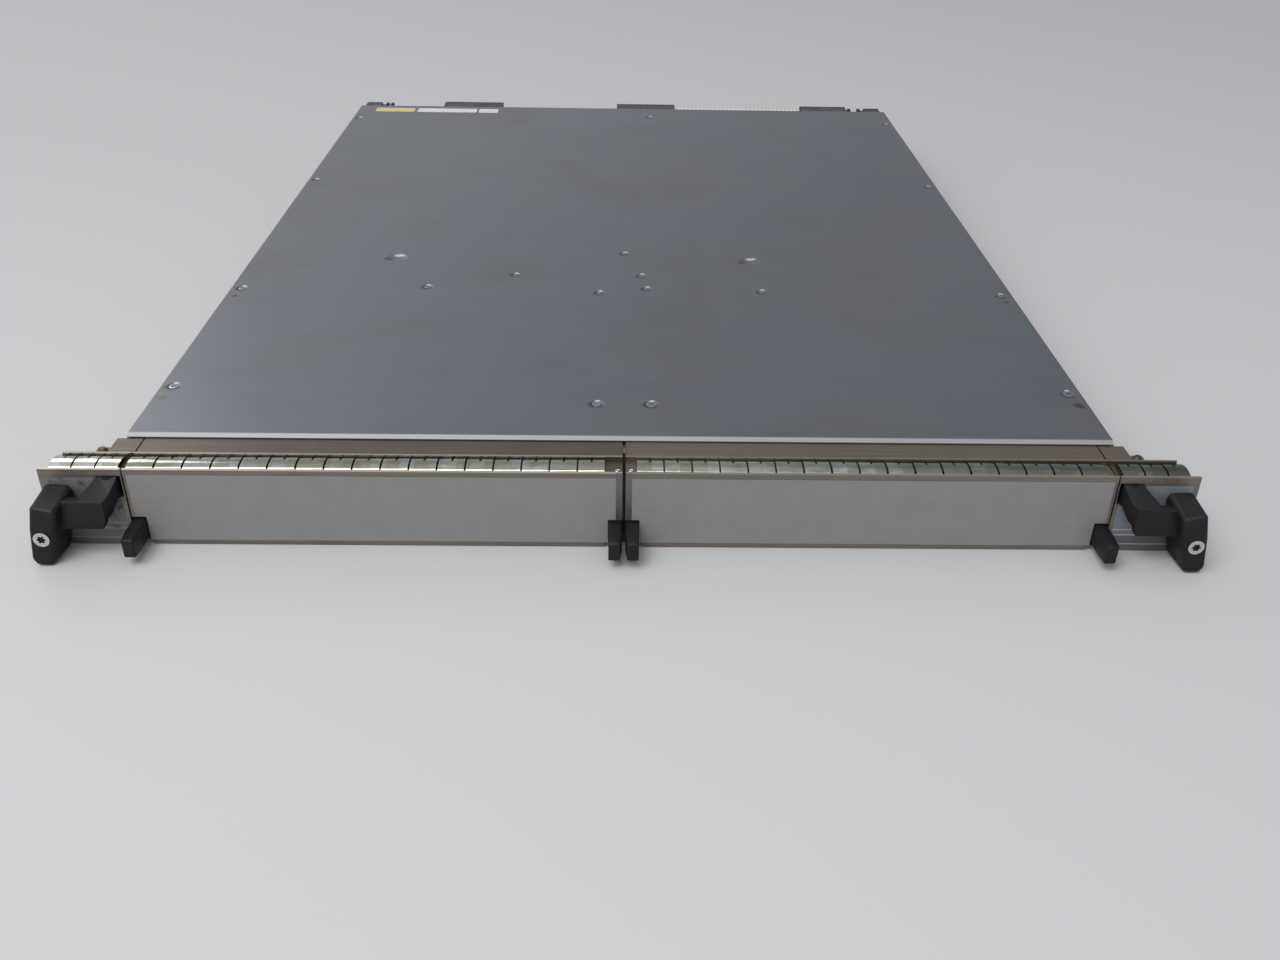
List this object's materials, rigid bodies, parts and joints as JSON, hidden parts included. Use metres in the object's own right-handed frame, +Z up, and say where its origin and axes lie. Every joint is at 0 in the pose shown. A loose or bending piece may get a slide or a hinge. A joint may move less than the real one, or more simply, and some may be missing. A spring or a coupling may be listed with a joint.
{
  "type": "switch line card",
  "caption": "Shallow sheet-metal card with a flat cover, backplane connectors at the rear, blanked module bays in front, finger gaskets and hinged ejector levers.",
  "frame": {"origin": "centre of the card's outline on the plane it rests on", "axes": "+X to the right seen from the front, +Y back toward the backplane connectors, +Z up through the cover"},
  "size_m": [0.4376, 0.5595, 0.0334],
  "materials": {
    "zinc_sheet": "zinc-plated sheet, satin",
    "cover_sheet": "dull blue-grey plated sheet with faint stains",
    "front_metal": "brownish plated metal, satin",
    "overlay_film": "grey film, smooth and matte",
    "finger_stock": "bright tinned spring sheet, slightly yellow",
    "black_moulding": "moulded, fine grain",
    "plated_steel": "bright plated",
    "connector_plastic": "moulded, smooth",
    "pale_plastic": "moulded, smooth",
    "board": "glass-fibre board under green resist",
    "sink_aluminium": "extruded"
  },
  "bodies": {
    "card": {"base_tray": "zinc_sheet", "top_cover": "cover_sheet", "cross_member": "zinc_sheet", "bay_divider": "zinc_sheet", "main_board": "board", "heat_sink_left": "sink_aluminium", "heat_sink_centre": "sink_aluminium", "heat_sink_right": "sink_aluminium", "rear_connector_left": "connector_plastic", "rear_connector_centre": "connector_plastic", "rear_connector_right": "connector_plastic", "ribbed_header": "pale_plastic", "bay_rail_left": "zinc_sheet", "bay_connector_left": "connector_plastic", "guide_block_left": "connector_plastic", "end_plate_left": "front_metal", "end_rivet_left": "plated_steel", "gasket_end_left": "finger_stock", "ejector_pin_left": "plated_steel", "bay_rail_right": "zinc_sheet", "bay_connector_right": "connector_plastic", "guide_block_right": "connector_plastic", "end_plate_right": "front_metal", "end_rivet_right": "plated_steel", "gasket_end_right": "finger_stock", "ejector_pin_right": "plated_steel"},
    "blank_left": {"blank_panel_left": "front_metal", "blank_overlay_left": "overlay_film", "gasket_blank_left": "finger_stock"},
    "lever_left": {"ejector_arm_left": "black_moulding", "ejector_grip_left": "black_moulding", "ejector_screw_left": "plated_steel"},
    "tab_left_inner": {"tab_tip_left_inner": "black_moulding", "tab_bar_left_inner": "plated_steel"},
    "tab_left_outer": {"tab_tip_left_outer": "black_moulding", "tab_bar_left_outer": "plated_steel"},
    "blank_right": {"blank_panel_right": "front_metal", "blank_overlay_right": "overlay_film", "gasket_blank_right": "finger_stock"},
    "lever_right": {"ejector_arm_right": "black_moulding", "ejector_grip_right": "black_moulding", "ejector_screw_right": "plated_steel"},
    "tab_right_inner": {"tab_tip_right_inner": "black_moulding", "tab_bar_right_inner": "plated_steel"},
    "tab_right_outer": {"tab_tip_right_outer": "black_moulding", "tab_bar_right_outer": "plated_steel"}
  },
  "joints": [
    {"name": "blank_left_slide", "type": "slide", "parent": "card", "child": "blank_left", "axis": [0, -1, 0], "range_m": [0, 0.034]},
    {"name": "lever_left_hinge", "type": "hinge", "parent": "card", "child": "lever_left", "pos_m": [-0.1912, -0.2619, 0.026], "axis": [0, 0, 1], "range_deg": [0, 24]},
    {"name": "tab_left_inner_slide", "type": "slide", "parent": "card", "child": "tab_left_inner", "axis": [0, -1, 0], "range_m": [0, 0.012]},
    {"name": "tab_left_outer_slide", "type": "slide", "parent": "card", "child": "tab_left_outer", "axis": [0, -1, 0], "range_m": [0, 0.012]},
    {"name": "blank_right_slide", "type": "slide", "parent": "card", "child": "blank_right", "axis": [0, -1, 0], "range_m": [0, 0.034]},
    {"name": "lever_right_hinge", "type": "hinge", "parent": "card", "child": "lever_right", "pos_m": [0.1912, -0.2619, 0.026], "axis": [0, 0, -1], "range_deg": [0, 24]},
    {"name": "tab_right_inner_slide", "type": "slide", "parent": "card", "child": "tab_right_inner", "axis": [0, -1, 0], "range_m": [0, 0.012]},
    {"name": "tab_right_outer_slide", "type": "slide", "parent": "card", "child": "tab_right_outer", "axis": [0, -1, 0], "range_m": [0, 0.012]}
  ]
}
